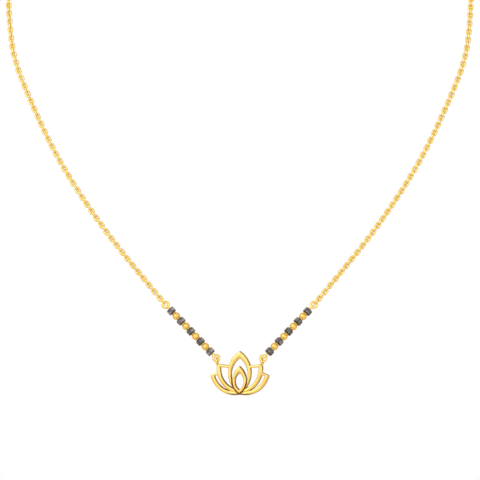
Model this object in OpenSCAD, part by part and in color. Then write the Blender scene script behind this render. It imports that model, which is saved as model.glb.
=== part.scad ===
// Mangalsutra in the form it takes when worn: a fine gold cable chain, two short strings of
// black and gold beads on wires, and an open lotus pendant that swings on two rings.
// Millimetres, +Z up, the front towards -Y, the origin in the middle of the clasp on the nape.

/* [Chain] */
// Length of a link, outside
link_l = 1.98; // [1.94:0.02:2.06]
// Width of a link, outside, which is also the width of the chain
link_w = 1.46; // [1.44:0.02:1.5]
// Thickness of a link's wire
link_wire = 0.4; // [0.36:0.01:0.4]
// Gap that pieces keep where one hangs in another
gap = 0.1; // [0.08:0.01:0.12]

/* [Beads] */
// Number of black beads in each string
black_count = 5; // [4:1:5]
// Distance from one black bead's middle to the next
bead_pitch = 3.64; // [3.62:0.01:3.7]
// Width of a black bead across its corners
black_d = 2.18; // [2:0.02:2.3]
// Thickness of a black bead along the string
black_t = 1.44; // [1.3:0.02:1.46]
// Number of facets round a black bead
black_facets = 10; // [8:1:12]
// Bevel at a black bead's two rims
black_bevel = 0.14; // [0.1:0.01:0.2]
// Diameter of a gold bead
gold_d = 1.98; // [1.8:0.02:2]
// Diameter of the hole through a bead
bore_d = 0.64; // [0.62:0.02:0.72]

/* [Bead wires] */
// Thickness of the wire through the beads
wire_d = 0.44; // [0.36:0.02:0.44]
// Radius of the upper eye loop, to the middle of its wire
eye_top_r = 0.85; // [0.82:0.01:0.9]
// Radius of the lower eye loop, to the middle of its wire
eye_low_r = 0.85; // [0.84:0.01:0.88]
// Angle below the lower eye's middle at which the pendant's ring hangs on it
eye_angle = 72; // [70:1:74]

/* [Lotus] */
// Angle by which the pendant hangs turned about the vertical
lotus_turn = -12; // [-14:1:-10]
// Width of the side petals' bands
band_w = 0.85; // [0.75:0.05:0.95]
// Width of the short bar that closes an outer petal
tip_w = 0.5; // [0.4:0.05:0.6]
// Width of the bar that closes a middle petal
mid_tip_w = 0.75; // [0.65:0.05:0.85]
// Distance from the middle plane to the flat back of the petals
lotus_back = 0.65; // [0.5:0.01:0.7]
// Distance from the middle plane to the front of the small petal
small_front = 0.9; // [0.8:0.05:1]
// Distance from the middle plane to the front of the tall petal
tall_front = 0.7; // [0.6:0.05:0.8]
// Distance from the middle plane to the front of the middle petals
mid_front = 0.56; // [0.5:0.02:0.6]
// Distance from the middle plane to the front of the outer petals
outer_front = 0.48; // [0.4:0.02:0.5]
// Distance from the pendant's middle to each of its rings
ring_x = 5.88; // [5.86:0.01:5.9]
// Height over the lotus base of the line that the pendant swings about
hinge_z = 8.46; // [8.44:0.01:8.48]
// Depth of the rings' middles under that line
ring_drop = 0.05; // [0.04:0.01:0.06]
// Radius of a ring, to the middle of its wire
ring_r = 0.84; // [0.83:0.01:0.85]
// Thickness of a ring's wire
ring_wire = 0.42; // [0.36:0.01:0.42]

/* [Clasp] */
// Radius of the spring ring, to the middle of its tube
clasp_r = 2.2; // [2.15:0.05:2.4]
// Thickness of the spring ring's tube
clasp_d = 1; // [0.9:0.05:1.05]
// Distance from the clasp's middle to the wire that each chain hooks on
clasp_reach = 4.1; // [4.1:0.05:4.3]
// Radius of the clasp's small eye, to the middle of its wire
clasp_eye_r = 0.75; // [0.72:0.01:0.8]
// Radius of the closed ring on the other side, to the middle of its wire
clasp_ring_r = 1.4; // [1.4:0.05:1.6]
// Thickness of the wire of the small eye and of the closed ring
clasp_wire = 0.46; // [0.4:0.02:0.46]
// Thickness of the clasp's thumb tab
tab_d = 0.7; // [0.6:0.05:0.8]
// Distance from the middle of the spring ring's tube to the end of its thumb tab
tab_l = 1.2; // [1:0.05:1.4]
// Angle from the clasp's small eye round to its thumb tab
tab_angle = 60; // [40:5:80]

/* [Hidden] */
gold = "gold";
black = "#26242c";
smooth = 48;
fine = 32;
petal_smooth = 96;

// Place of the lotus base
lotus_y = -94;
lotus_z = -128;

// Route of the right chain, from the upper eye of the bead wire up the front, over the
// shoulder and round the neck to the clasp. The left chain is its mirror image.
route = [
    [19.1, -90.2, -105.1],
    [24.4, -88.6, -98.8],
    [32.8, -85.9, -88.5],
    [40.3, -83.1, -78.1],
    [46.8, -80.4, -67.7],
    [52.1, -77.6, -57.3],
    [56.7, -74.9, -46.8],
    [58.5, -73.5, -41.5],
    [59.6, -72.1, -36.2],
    [60.5, -69.4, -25.7],
    [60.4, -65, -17],
    [59.4, -57.5, -10.8],
    [56.6, -47.5, -6.6],
    [51.8, -36.5, -4],
    [44.6, -25.2, -2.1],
    [35, -14.8, -0.9],
    [24, -6.8, -0.2],
    [13, -2, 0],
    [clasp_reach, 0, 0]
];
neck_middle = [0, -45, 0];
tube_sides = 8;

// Petals that are pointed ovals: half width, radius of the two sides, height of the widest place
tall_outline = [3.02, 6.2, 5.82];
tall_opening = [2.15, 5.24, 4.96];
small_outline = [1.86, 4.26, 3.74];
small_opening = [1.16, 2.52, 3.32];

// Right side petals, each a band on an arc: centre x, centre z, radius, first angle, last angle
mid_arc = [-0.45, 6.58, 5.98, -90, 9];
outer_arc = [1.38, 6.19, 5.91, -104, -13];
// Bars that close the side petals: x and z of one end, x and z of the other
mid_bar = [5.44, 7.42, 2.6, 7.12];
outer_bar = [7.08, 4.86, 5.6, 5.02];
// Ball of solder between a middle petal's tip and its ring: x, z and radius
solder_at = [5.75, 7.56];
solder_r = 0.38;

// A chain's end link seen along its length: where its wire runs beside the wire that holds it
link_hold = link_l / 2 - link_wire - gap;
// Distance from an end link's middle to the tube's end
tube_in = 0.4;

// Vector helpers
function unit(v) = v / norm(v);
function along(a, b) = unit(b - a);
function mirrored(p, side) = [side * p[0], p[1], p[2]];

// Places that the strings are hung between, for side 1 on the right and -1 on the left
function hinge_at(side) = [
    side * ring_x * cos(lotus_turn),
    lotus_y + side * ring_x * sin(lotus_turn),
    lotus_z + hinge_z
];
function eye_top(side) = mirrored(route[0], side);
function lean(side) = let(v = eye_top(side) - hinge_at(side)) atan2(v[1], v[2]);
function eye_low(side) = hinge_at(side)
    + eye_low_r * [
        side * cos(eye_angle),
        sin(eye_angle) * sin(lean(side)),
        sin(eye_angle) * cos(lean(side))
    ];
function string_l(side) = norm(eye_top(side) - eye_low(side));
function string_rise(side) = let(v = eye_top(side) - eye_low(side))
    atan2(norm([v[1], v[2]]), abs(v[0]));
function first_bead(side) = eye_low_r + (string_l(side) - eye_low_r - eye_top_r
    - (black_count - 1) * bead_pitch) / 2;
function black_at(side, i) = first_bead(side) + i * bead_pitch;
function gold_at(side, i) = black_at(side, i + 0.5);

// Face of the upper eye, and the middle of the link that hooks on its wire, drawn on the right
function eye_face(side) = [0, -cos(lean(side)), sin(lean(side))];
function first_link(side) = let(
    face = eye_face(side),
    level = start_way - (start_way * face) * face
) route[0] + unit(level) * eye_top_r + start_way * (link_hold - wire_d / 2);

// The chain's tube follows the route and the middle of each of its steps
function middle_of(p, i) = let(
    before = i > 0 ? p[i - 1] : 2 * p[0] - p[1],
    after = i < len(p) - 2 ? p[i + 2] : 2 * p[i + 1] - p[i]
) (9 * (p[i] + p[i + 1]) - before - after) / 16;
function finer(p) = [
    for (i = [0:len(p) - 2]) each [p[i], middle_of(p, i)],
    p[len(p) - 1]
];
start_way = along(route[0], route[1]);
end_way = along(route[len(route) - 2], route[len(route) - 1]);
tube_start = route[0] + start_way * (eye_top_r + link_hold - wire_d / 2 + tube_in);
last_link = route[len(route) - 1] - end_way * (link_hold - clasp_wire / 2);
tube_path = let(p = finer(route), n = len(p)) [
    tube_start,
    for (i = [1:n - 2]) p[i],
    last_link - end_way * tube_in
];
function tangent(p, i) = along(p[max(i - 1, 0)], p[min(i + 1, len(p) - 1)]);
function tube_ring(p, i) = let(
    t = tangent(p, i),
    across = unit(cross(t, p[i] - neck_middle)),
    outward = cross(across, t)
) [
    for (k = [0:tube_sides - 1]) let(a = 360 * (k + 0.5) / tube_sides)
        p[i] + (cos(a) * across + sin(a) * outward) * link_w / 2
];

black_names = [
    for (side = ["left", "right"]) for (i = [1:black_count]) str("black_bead_", side, "_", i)
];
gold_names = [
    for (side = ["left", "right"]) for (i = [1:black_count - 1]) str("gold_bead_", side, "_", i)
];

// A round wire bent to a ring, about the Z axis
module wire_ring(r, d) {
    rotate_extrude($fn = smooth) translate([r, 0]) circle(d = d, $fn = fine);
}

// Puts a thing at a place, with its Y axis along face and its Z axis along way
module set_at(place, way, face) {
    x = cross(face, way);
    multmatrix([
        [x[0], face[0], way[0], place[0]],
        [x[1], face[1], way[1], place[1]],
        [x[2], face[2], way[2], place[2]],
        [0, 0, 0, 1]
    ]) children();
}

// An oval link, long along Z and flat in the XZ plane
module link() {
    bend_r = (link_w - link_wire) / 2;
    straight = link_l - link_w;
    for (end = [-1, 1]) {
        translate([0, 0, end * straight / 2]) rotate([90 * end, 0, 0])
            rotate_extrude(angle = 180, $fn = smooth)
                translate([bend_r, 0]) circle(d = link_wire, $fn = fine);
        translate([end * bend_r, 0, -straight / 2])
            cylinder(d = link_wire, h = straight, $fn = fine);
    }
}

// One side's half of the chain, drawn on the right: a tube of its full width with its two end
// links as they are
module half_chain(side, last_face) {
    rings = [for (i = [0:len(tube_path) - 1]) tube_ring(tube_path, i)];
    n = len(rings);
    s = tube_sides;
    polyhedron(
        points = [for (r = rings) each r],
        faces = concat(
            [[for (k = [0:s - 1]) k]],
            [for (i = [0:n - 2]) for (k = [0:s - 1])
                [i * s + k, (i + 1) * s + k, (i + 1) * s + (k + 1) % s, i * s + (k + 1) % s]],
            [[for (k = [s - 1:-1:0]) (n - 1) * s + k]]
        )
    );
    set_at(first_link(side), start_way, unit(cross(start_way, eye_face(side)))) link();
    set_at(last_link, end_way, last_face) link();
}

module chain_right() {
    color(gold) half_chain(1, [0, 0, 1]);
}

module chain_left() {
    color(gold) mirror([1, 0, 0]) half_chain(-1, unit(cross([0, 0, 1], end_way)));
}

// Spring ring with its small eye and thumb tab, one plain piece
module clasp() {
    color(gold) rotate([90, 0, 0]) {
        wire_ring(clasp_r, clasp_d);
        translate([clasp_reach - clasp_eye_r, 0, 0]) wire_ring(clasp_eye_r, clasp_wire);
        rotate([0, 0, tab_angle]) translate([clasp_r, 0, 0]) rotate([0, 90, 0])
            cylinder(d = tab_d, h = tab_l, $fn = smooth);
    }
}

module clasp_ring() {
    color(gold) translate([clasp_ring_r - clasp_reach, 0, 0]) wire_ring(clasp_ring_r, clasp_wire);
}

// Stands a string's own frame, with Z along the string from the lower eye, in its place
module on_string(side) {
    translate(eye_low(side)) rotate([-lean(side), 0, 0])
        rotate([0, side * (90 - string_rise(side)), 0]) children();
}

// A straight wire with an eye loop at each end
module bead_wire(side) {
    l = string_l(side);
    color(gold) on_string(side) {
        rotate([90, 0, 0]) wire_ring(eye_low_r, wire_d);
        translate([0, 0, l]) rotate([90, 0, 0]) wire_ring(eye_top_r, wire_d);
        translate([0, 0, eye_low_r]) cylinder(d = wire_d, h = l - eye_low_r - eye_top_r, $fn = fine);
    }
}

// Cuts a bead's hole through what it is given
module drilled() {
    difference() {
        children();
        translate([0, 0, -gold_d]) cylinder(d = bore_d, h = 2 * gold_d, $fn = smooth);
    }
}

// A short faceted drum with bevelled rims
module black_bead(side, i) {
    r = black_d / 2;
    h = black_t / 2;
    rim_r = r - black_bevel;
    rim_h = h - black_bevel;
    color(black) on_string(side) translate([0, 0, black_at(side, i)]) drilled()
        rotate_extrude($fn = black_facets)
            polygon([[0, -h], [rim_r, -h], [r, -rim_h], [r, rim_h], [rim_r, h], [0, h]]);
}

// A round gold ball
module gold_bead(side, i) {
    color(gold) on_string(side) translate([0, 0, gold_at(side, i)]) drilled()
        sphere(d = gold_d, $fn = smooth);
}

// A pointed oval between two round sides, from the back plane to its front
module pointed_oval(shape, back, front) {
    half_w = shape[0];
    r = shape[1];
    intersection_for (side = [-1, 1])
        translate([side * (r - half_w), shape[2], -back]) cylinder(r = r, h = back + front, $fn = petal_smooth);
}

// A petal that is a pointed oval with a pointed oval opening
module open_petal(outline, opening, front) {
    difference() {
        pointed_oval(outline, lotus_back, front);
        pointed_oval(opening, lotus_back + gap, front + gap);
    }
}

// A band on an arc
module arc_band(arc, front) {
    translate([arc[0], arc[1], -lotus_back])
        rotate_extrude(angle = arc[4] - arc[3], start = arc[3], $fn = petal_smooth)
            translate([arc[2] - band_w / 2, 0]) square([band_w, lotus_back + front]);
}

// A straight bar with round ends
module bar(ends, w, front) {
    a = [ends[0], ends[1]];
    b = [ends[2], ends[3]];
    step = b - a;
    h = lotus_back + front;
    translate([a[0], a[1], -lotus_back]) {
        cylinder(d = w, h = h, $fn = smooth);
        rotate([0, 0, atan2(step[1], step[0])]) translate([0, -w / 2, 0]) cube([norm(step), w, h]);
        translate([step[0], step[1], 0]) cylinder(d = w, h = h, $fn = smooth);
    }
}

// The middle and outer petals of the right side, with the ring on the middle petal's tip
module side_petals() {
    arc_band(mid_arc, mid_front);
    bar(mid_bar, mid_tip_w, mid_front);
    arc_band(outer_arc, outer_front);
    bar(outer_bar, tip_w, outer_front);
    translate([ring_x, hinge_z - ring_drop, 0]) rotate([0, 90, 0])
        wire_ring(ring_r, ring_wire);
    translate([solder_at[0], solder_at[1], 0]) sphere(r = solder_r, $fn = smooth);
}

// The lotus, drawn in X and Z with its front towards -Y
module lotus_pendant() {
    color(gold) translate([0, lotus_y, lotus_z]) rotate([90, 0, lotus_turn]) {
        open_petal(tall_outline, tall_opening, tall_front);
        open_petal(small_outline, small_opening, small_front);
        side_petals();
        mirror([1, 0, 0]) side_petals();
    }
}

chain_left();
chain_right();
clasp();
clasp_ring();
bead_wire(-1);  // bead_wire_left
bead_wire(1);  // bead_wire_right
for (i = [1:black_count]) {
    black_bead(-1, i - 1);
    black_bead(1, i - 1);
}
for (i = [1:black_count - 1]) {
    gold_bead(-1, i - 1);
    gold_bead(1, i - 1);
}
lotus_pendant();
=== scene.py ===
"""A short gold mangalsutra with a lotus pendant, dressed round its frame."""

import math

import bmesh
import bpy
from bpy.props import FloatProperty, FloatVectorProperty, IntProperty, PointerProperty
from bpy.types import Operator, Panel, PropertyGroup
from mathutils import Matrix, Vector


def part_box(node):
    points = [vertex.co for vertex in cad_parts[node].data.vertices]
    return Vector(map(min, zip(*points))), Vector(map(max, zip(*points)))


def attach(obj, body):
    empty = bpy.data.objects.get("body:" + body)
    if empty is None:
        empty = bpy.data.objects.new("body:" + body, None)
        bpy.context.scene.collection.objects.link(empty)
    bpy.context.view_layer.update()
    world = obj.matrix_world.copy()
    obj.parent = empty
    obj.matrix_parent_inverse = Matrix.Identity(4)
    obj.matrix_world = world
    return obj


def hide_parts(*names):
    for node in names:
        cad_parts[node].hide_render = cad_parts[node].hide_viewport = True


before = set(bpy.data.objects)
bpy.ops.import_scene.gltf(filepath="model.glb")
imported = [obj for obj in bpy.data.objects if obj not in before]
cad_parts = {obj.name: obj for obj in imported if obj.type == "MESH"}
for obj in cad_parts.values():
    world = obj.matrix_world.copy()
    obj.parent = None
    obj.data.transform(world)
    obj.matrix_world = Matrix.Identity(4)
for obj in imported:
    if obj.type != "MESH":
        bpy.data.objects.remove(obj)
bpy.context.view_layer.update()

bl_info = {
    "name": "Mangalsutra",
    "version": (1, 0, 0),
    "blender": (4, 5, 0),
    "location": "3D View > Sidebar > Mangalsutra",
    "description": "Dresses the frame of a gold mangalsutra with its links, beads, wires and lotus",
    "category": "Add Mesh",
}

MM = 0.001
SIDES = {"left": -1, "right": 1}
# Numbers of the beads on each side, from the lotus up
BLACK_BEADS, GOLD_BEADS = range(1, 6), range(1, 5)
UP = Vector((0, 0, 1))
RIGHT = Vector((1, 0, 0))
# Places on an axis that differ by less are the same, and verts nearer to each other are merged
SAME_PLACE = 1e-7
MERGED = 1e-6

# Route of the right chain, from the upper eye of the bead wire to the clasp
ROUTE = [
    (0.0191, -0.0902, -0.1051),
    (0.0244, -0.0886, -0.0988),
    (0.0328, -0.0859, -0.0885),
    (0.0403, -0.0831, -0.0781),
    (0.0468, -0.0804, -0.0677),
    (0.0521, -0.0776, -0.0573),
    (0.0567, -0.0749, -0.0468),
    (0.0585, -0.0735, -0.0415),
    (0.0596, -0.0721, -0.0362),
    (0.0605, -0.0694, -0.0257),
    (0.0604, -0.0650, -0.0170),
    (0.0594, -0.0575, -0.0108),
    (0.0566, -0.0475, -0.0066),
    (0.0518, -0.0365, -0.0040),
    (0.0446, -0.0252, -0.0021),
    (0.0350, -0.0148, -0.0009),
    (0.0240, -0.0068, -0.0002),
    (0.0130, -0.0020, 0.0),
    (0.0041, 0.0, 0.0),
]
# How many times the route is refined to a smooth curve
ROUTE_ROUNDS = 4


def length(name, description, default):
    """A property that holds a length in metres."""
    return FloatProperty(
        name=name, description=description, default=default, min=0, unit="LENGTH", precision=5
    )


def angle(name, description, degrees):
    """A property that holds an angle, given in degrees and kept in radians."""
    return FloatProperty(
        name=name, description=description, default=math.radians(degrees), subtype="ANGLE"
    )


def colour(name, description, default):
    """A property that holds a linear colour."""
    return FloatVectorProperty(
        name=name, description=description, default=default, subtype="COLOR", min=0, max=1
    )


def amount(name, description, default):
    """A property that holds a plain share."""
    return FloatProperty(name=name, description=description, default=default, min=0)


class ChainSizes(PropertyGroup):
    """Sizes of the cable chain."""

    link_length: length("Link length", "Outside length of a link", 0.00215)
    link_width: length("Link width", "Outside width of a link", 0.00152)
    wire: length("Link wire", "Thickness of a link's wire", 0.00049)
    end_wire: length("End wire", "Thickness of the wire of the first and the last link", 0.00042)
    play: length("Play", "Least gap between two links", 0.00004)
    end_play: length("End play", "Gap between an end link and the wire it hooks on", 0.0001)
    bend_steps: IntProperty(name="Bend steps", description="Sections round a link", default=12)
    wire_sides: IntProperty(name="Wire sides", description="Sides of a link's wire", default=6)
    sway: angle("Sway", "Most that a link is turned out of its place", 4)


class WireSizes(PropertyGroup):
    """Sizes of the wires through the beads."""

    wire: length("Wire", "Thickness of the wire through the beads", 0.0005)
    eye_wire: length("Eye wire", "Thickness of the wire of an eye", 0.00056)
    eye_top: length("Upper eye", "Radius of the upper eye, to the middle of its wire", 0.00081)
    eye_low: length("Lower eye", "Radius of the lower eye, to the middle of its wire", 0.00081)
    solder: length("Solder", "Radius of the drop of solder that closes an eye", 0.0005)
    neck: length("Neck", "Thickness of the soldered neck beside an eye", 0.00062)
    sides: IntProperty(name="Sides", description="Sides of the wire", default=12)
    steps: IntProperty(name="Steps", description="Sections round an eye", default=40)


class BeadSizes(PropertyGroup):
    """Sizes of the black and the gold beads."""

    black_width: length(
        "Black width", "Width of a black bead across its corners, before they are cut", 0.00218
    )
    black_length: length("Black length", "Length of a black bead along the string", 0.00144)
    facets: IntProperty(name="Facets", description="Wide facets round a black bead", default=14)
    rim: length("Rim", "Bevel of a black bead's rims, and of its corners as narrow facets", 0.00014)
    edge: length("Edge", "Width of the polished edge between two facets", 0.00003)
    turn: angle("Turn", "Turn about the string from one black bead to the next", 7)
    gold_width: length("Gold width", "Diameter of a gold bead", 0.00198)
    collar: length("Collar", "Width of the small collar round a ball's hole", 0.00124)
    collar_rise: length("Collar rise", "How far the collar stands over the round", 0.00005)
    bore: length("Bore", "Diameter of the hole through a bead", 0.00064)


class LotusSizes(PropertyGroup):
    """Sizes of the lotus. Places in it are x and height over its base."""

    base: FloatVectorProperty(
        name="Base", description="Place of the lotus base", default=(0, -0.094, -0.128),
        subtype="TRANSLATION", unit="LENGTH", precision=5,
    )
    turn: angle("Turn", "Turn of the lotus about the vertical", -12)
    back: length("Back", "Depth of the flat back behind the middle plane", 0.00078)
    small_front: length("Small front", "Front of the small petal before the middle plane", 0.0009)
    tall_front: length("Tall front", "Front of the tall petal before the middle plane", 0.0007)
    mid_front: length("Middle front", "Front of the middle petals", 0.00056)
    outer_front: length("Outer front", "Front of the outer petals", 0.00048)
    band: length("Band", "Width of the side petals' bands", 0.00112)
    crown: length("Crown", "Fall of a band's rounded front towards its edges", 0.00024)
    slant: amount("Slant", "Share of a band's width that each wall leans inward", 0.06)
    ease: length("Ease", "Round on the back edges of a band", 0.00008)
    groove: length("Groove", "Width of the groove round the small petal's foot", 0.00027)
    foot_height: length("Foot height", "Height of the middle of the foot over the base", 0.001)
    ring_x: length("Ring place", "Distance from the middle to each ring", 0.0059)
    hinge_height: length("Swing height", "Height of the line the pendant swings about", 0.00846)
    ring_drop: length("Ring drop", "Depth of the rings' middles under that line", 0.00005)
    ring: length("Ring", "Radius of a ring, to the middle of its wire", 0.00084)
    ring_wire: length("Ring wire", "Thickness of a ring's wire", 0.00046)


class ClaspSizes(PropertyGroup):
    """Sizes of the clasp and of its closed ring."""

    radius: length("Radius", "Radius of the spring ring, to the middle of its tube", 0.0022)
    tube: length("Tube", "Thickness of the spring ring's tube", 0.001)
    bolt: length("Bolt", "Thickness of the bolt that closes the ring", 0.00078)
    reach: length("Reach", "Distance from the middle to the wire that a chain hooks on", 0.0041)
    eye: length("Eye", "Radius of the small eye, to the middle of its wire", 0.00075)
    closed: length("Closed ring", "Radius of the closed ring, to the middle of its wire", 0.0014)
    wire: length("Wire", "Thickness of the eye's and the closed ring's wire", 0.00046)
    tab: length("Tab", "Thickness of the thumb tab", 0.0007)
    tab_reach: length("Tab reach", "Distance from the tube's middle to the tab's end", 0.0012)


class Finishes(PropertyGroup):
    """Colours and polish."""

    gold: colour("Gold", "Colour of the polished gold", (0.98, 0.72, 0.25))
    deep_gold: colour("Deep gold", "Colour of the gold where it is deeper", (0.93, 0.63, 0.17))
    # Painted shade: the walls of the lotus are coloured darker to stand in for the dark reflections
    # on them
    wall_gold: colour("Wall gold", "Colour of the walls that the wheel missed", (0.58, 0.3, 0.06))
    shade_gold: colour("Shade gold", "Colour of walls deep between petals", (0.24, 0.1, 0.012))
    # Darkest painted shade: the colour put in the groove round the small petal and on the underside
    # near the foot
    dark_shade_gold: colour("Tarnish", "Colour of the tarnish left in the groove", (0.24, 0.11, 0.015))
    pale_gold: colour("Pale gold", "Colour of the drawn gold wire", (0.96, 0.74, 0.25))
    pale_deep: colour("Pale deep", "Colour of the drawn gold where it is deeper", (0.9, 0.65, 0.18))
    ball_gold: colour("Ball gold", "Colour of the gold balls", (0.85, 0.59, 0.17))
    black: colour("Black", "Colour of the black glass", (0.012, 0.011, 0.01))
    smoke: colour("Smoke", "Colour of the lightest facets of the black glass", (0.3, 0.27, 0.36))
    polish: amount("Polish", "Roughness of the polished gold", 0.1)
    matte: amount("Matte", "Roughness of the lotus's plain back", 0.42)


class StageSizes(PropertyGroup):
    """Sizes of the stage and the place of the camera."""

    floor_colour: colour("Floor", "Colour of the floor", (0.9, 0.9, 0.9))
    floor_height: FloatProperty(
        name="Floor height", description="Height of the floor", default=-0.3, unit="LENGTH"
    )
    floor_radius: length("Floor radius", "Radius of the floor", 1.6)
    distance: length("Distance", "Distance from the camera to the pendant", 1.2)
    frame_width: length("Frame width", "Width of the frame at the pendant", 0.12307)
    camera_height: FloatProperty(
        name="Camera height", description="Height of the camera", default=-0.08845,
        unit="LENGTH", precision=5,
    )
    camera_x: FloatProperty(
        name="Camera place", description="Place of the camera across the view", default=0.00008,
        unit="LENGTH", precision=5,
    )


class MangalsutraSettings(PropertyGroup):
    """All the settings of the necklace."""

    chain: PointerProperty(type=ChainSizes)
    wires: PointerProperty(type=WireSizes)
    beads: PointerProperty(type=BeadSizes)
    lotus: PointerProperty(type=LotusSizes)
    clasp: PointerProperty(type=ClaspSizes)
    finish: PointerProperty(type=Finishes)
    stage: PointerProperty(type=StageSizes)


def settings():
    """The scene's settings of the necklace."""
    return bpy.context.scene.mangalsutra


# Selecting and finishing


def clear_selection():
    """Leaves edit mode and deselects everything, so that a new primitive stands alone."""
    if bpy.context.mode != "OBJECT":
        bpy.ops.object.mode_set(mode="OBJECT")
    bpy.ops.object.select_all(action="DESELECT")


def choose(*pieces):
    """Selects only these pieces, with the first one active."""
    clear_selection()
    for piece in pieces:
        piece.select_set(True)
    bpy.context.view_layer.objects.active = pieces[0]


def edit(piece, everything=False):
    """Opens a piece in edit mode, with nothing of it selected or with everything."""
    choose(piece)
    bpy.ops.object.mode_set(mode="EDIT")
    bpy.ops.mesh.select_all(action="SELECT" if everything else "DESELECT")


def select_where(kind, test):
    """Selects the verts, edges or faces of the mesh in edit mode that pass a test."""
    bpy.ops.mesh.select_mode(type={"verts": "VERT", "edges": "EDGE", "faces": "FACE"}[kind])
    bpy.ops.mesh.select_all(action="DESELECT")
    mesh = bpy.context.edit_object.data
    shape = bmesh.from_edit_mesh(mesh)
    for part in getattr(shape, kind):
        if test(part):
            part.select_set(True)
    shape.select_flush_mode()
    bmesh.update_edit_mesh(mesh)


def lies_at(part, axis, *places):
    """Whether all the verts of an edge or a face lie at one of these places on an axis."""
    return any(all(abs(v.co[axis] - place) < SAME_PLACE for v in part.verts) for place in places)


def bake_place(piece, place=None):
    """Puts a piece's place into its mesh, with its object at the origin, and returns it."""
    choose(piece)
    if place is not None:
        piece.matrix_world = place @ piece.matrix_world
        bpy.context.view_layer.update()
    bpy.ops.object.transform_apply(location=True, rotation=True, scale=True)
    return piece


def face_outward(piece):
    """Merges doubles and turns all faces of a piece outward."""
    edit(piece, everything=True)
    bpy.ops.mesh.remove_doubles(threshold=MERGED)
    bpy.ops.mesh.normals_make_consistent(inside=False)
    clear_selection()


def smooth(piece, degrees):
    """Shades a piece smooth, except over edges sharper than this."""
    choose(piece)
    bpy.ops.object.shade_smooth_by_angle(angle=math.radians(degrees))


def modify(piece, kind, **values):
    """Puts a modifier with these values on a piece and applies it."""
    choose(piece)
    modifier = piece.modifiers.new(kind.lower(), kind)
    for key, value in values.items():
        setattr(modifier, key, value)
    bpy.ops.object.modifier_apply(modifier=modifier.name)


def join(name, pieces):
    """Joins pieces to one with this name."""
    choose(*pieces)
    if len(pieces) > 1:
        bpy.ops.object.join()
    piece = bpy.context.object
    piece.name = name
    piece.data.name = name
    return piece


def copy_to(piece, place):
    """A copy of a piece with its own mesh, put in a place."""
    twin = piece.copy()
    twin.data = piece.data.copy()
    twin.matrix_world = place
    bpy.context.scene.collection.objects.link(twin)
    return twin


def discard(piece):
    """Removes a master piece whose copies are all in place."""
    bpy.data.objects.remove(piece)


def hand_in(piece, material, body, slot, *nodes):
    """Gives a finished piece its material and body, and hides its nodes; its slot is not used."""
    piece.data.materials.clear()
    piece.data.materials.append(bpy.data.materials[material])
    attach(piece, body)
    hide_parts(*nodes)
    clear_selection()


# Plain shapes to start from


def disc(radius, sides, place=(0, 0, 0), turn=(0, 0, 0)):
    """A flat round face across Z, then turned and placed."""
    clear_selection()
    bpy.ops.mesh.primitive_circle_add(
        vertices=sides, radius=radius, fill_type="NGON", location=place, rotation=turn
    )
    return bake_place(bpy.context.object)


def wire_ring(radius, wire, place=(0, 0, 0), turn=(0, 0, 0), steps=48, sides=16):
    """A closed ring of round wire about Z, then turned and placed."""
    clear_selection()
    bpy.ops.mesh.primitive_torus_add(
        major_radius=radius, minor_radius=wire / 2, major_segments=steps, minor_segments=sides,
        location=place, rotation=turn,
    )
    return bake_place(bpy.context.object)


def ball(radius, segments, rings, place=(0, 0, 0), scale=(1, 1, 1)):
    """A ball, stretched by a scale and placed."""
    clear_selection()
    bpy.ops.mesh.primitive_uv_sphere_add(
        segments=segments, ring_count=rings, radius=radius, location=place, scale=scale
    )
    return bake_place(bpy.context.object)


def spin(piece, degrees, steps):
    """Sweeps a flat face about the Y axis, from X towards Z, to a bent wire."""
    edit(piece, everything=True)
    bpy.ops.mesh.spin(
        steps=steps, angle=math.radians(degrees), center=(0, 0, 0), axis=(0, 1, 0)
    )
    face_outward(piece)


def extrude_up(rise, ratio=1.0):
    """Extrudes the selected face along Z and widens or narrows it about the Z axis."""
    bpy.ops.mesh.extrude_region_move(TRANSFORM_OT_translate={"value": (0, 0, rise)})
    bpy.ops.transform.resize(value=(ratio, ratio, 1), center_override=(0, 0, 0))


# Places on the necklace


def frame_at(place, way, face):
    """A place with its Z axis along way and its Y axis along face."""
    across = face.cross(way)
    turned = Matrix((across, face, way)).transposed().to_4x4()
    return Matrix.Translation(place) @ turned


def mirrored(point, side):
    """A point of the right side, or its mirror image on the left."""
    return Vector((SIDES[side] * point[0], point[1], point[2]))


def middle(node):
    """The middle of a node's box."""
    low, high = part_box(node)
    return (low + high) / 2


class BeadString:
    """The straight line of one bead wire, between its lower and its upper eye."""

    def __init__(self, side):
        wires = settings().wires
        self.first = middle(f"black_bead_{side}_{BLACK_BEADS[0]}")
        self.last = middle(f"black_bead_{side}_{BLACK_BEADS[-1]}")
        self.way = (self.last - self.first).normalized()
        self.face = self.way.cross(RIGHT).normalized() * -1
        self.top = mirrored(ROUTE[0], side)
        beyond = (self.top - self.last).length - wires.eye_top
        self.low = self.first - self.way * (beyond + wires.eye_low)

    def place(self, point):
        """The string's own frame at a point on it."""
        return frame_at(point, self.way, self.face)


def refined(points):
    """The same route with a point added in the middle of each step, on a smooth curve."""
    result = []
    for i in range(len(points) - 1):
        here, there = points[i], points[i + 1]
        before = points[i - 1] if i > 0 else 2 * here - there
        after = points[i + 2] if i + 2 < len(points) else 2 * there - here
        result += [here, (9 * (here + there) - before - after) / 16]
    return result + [points[-1]]


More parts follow.
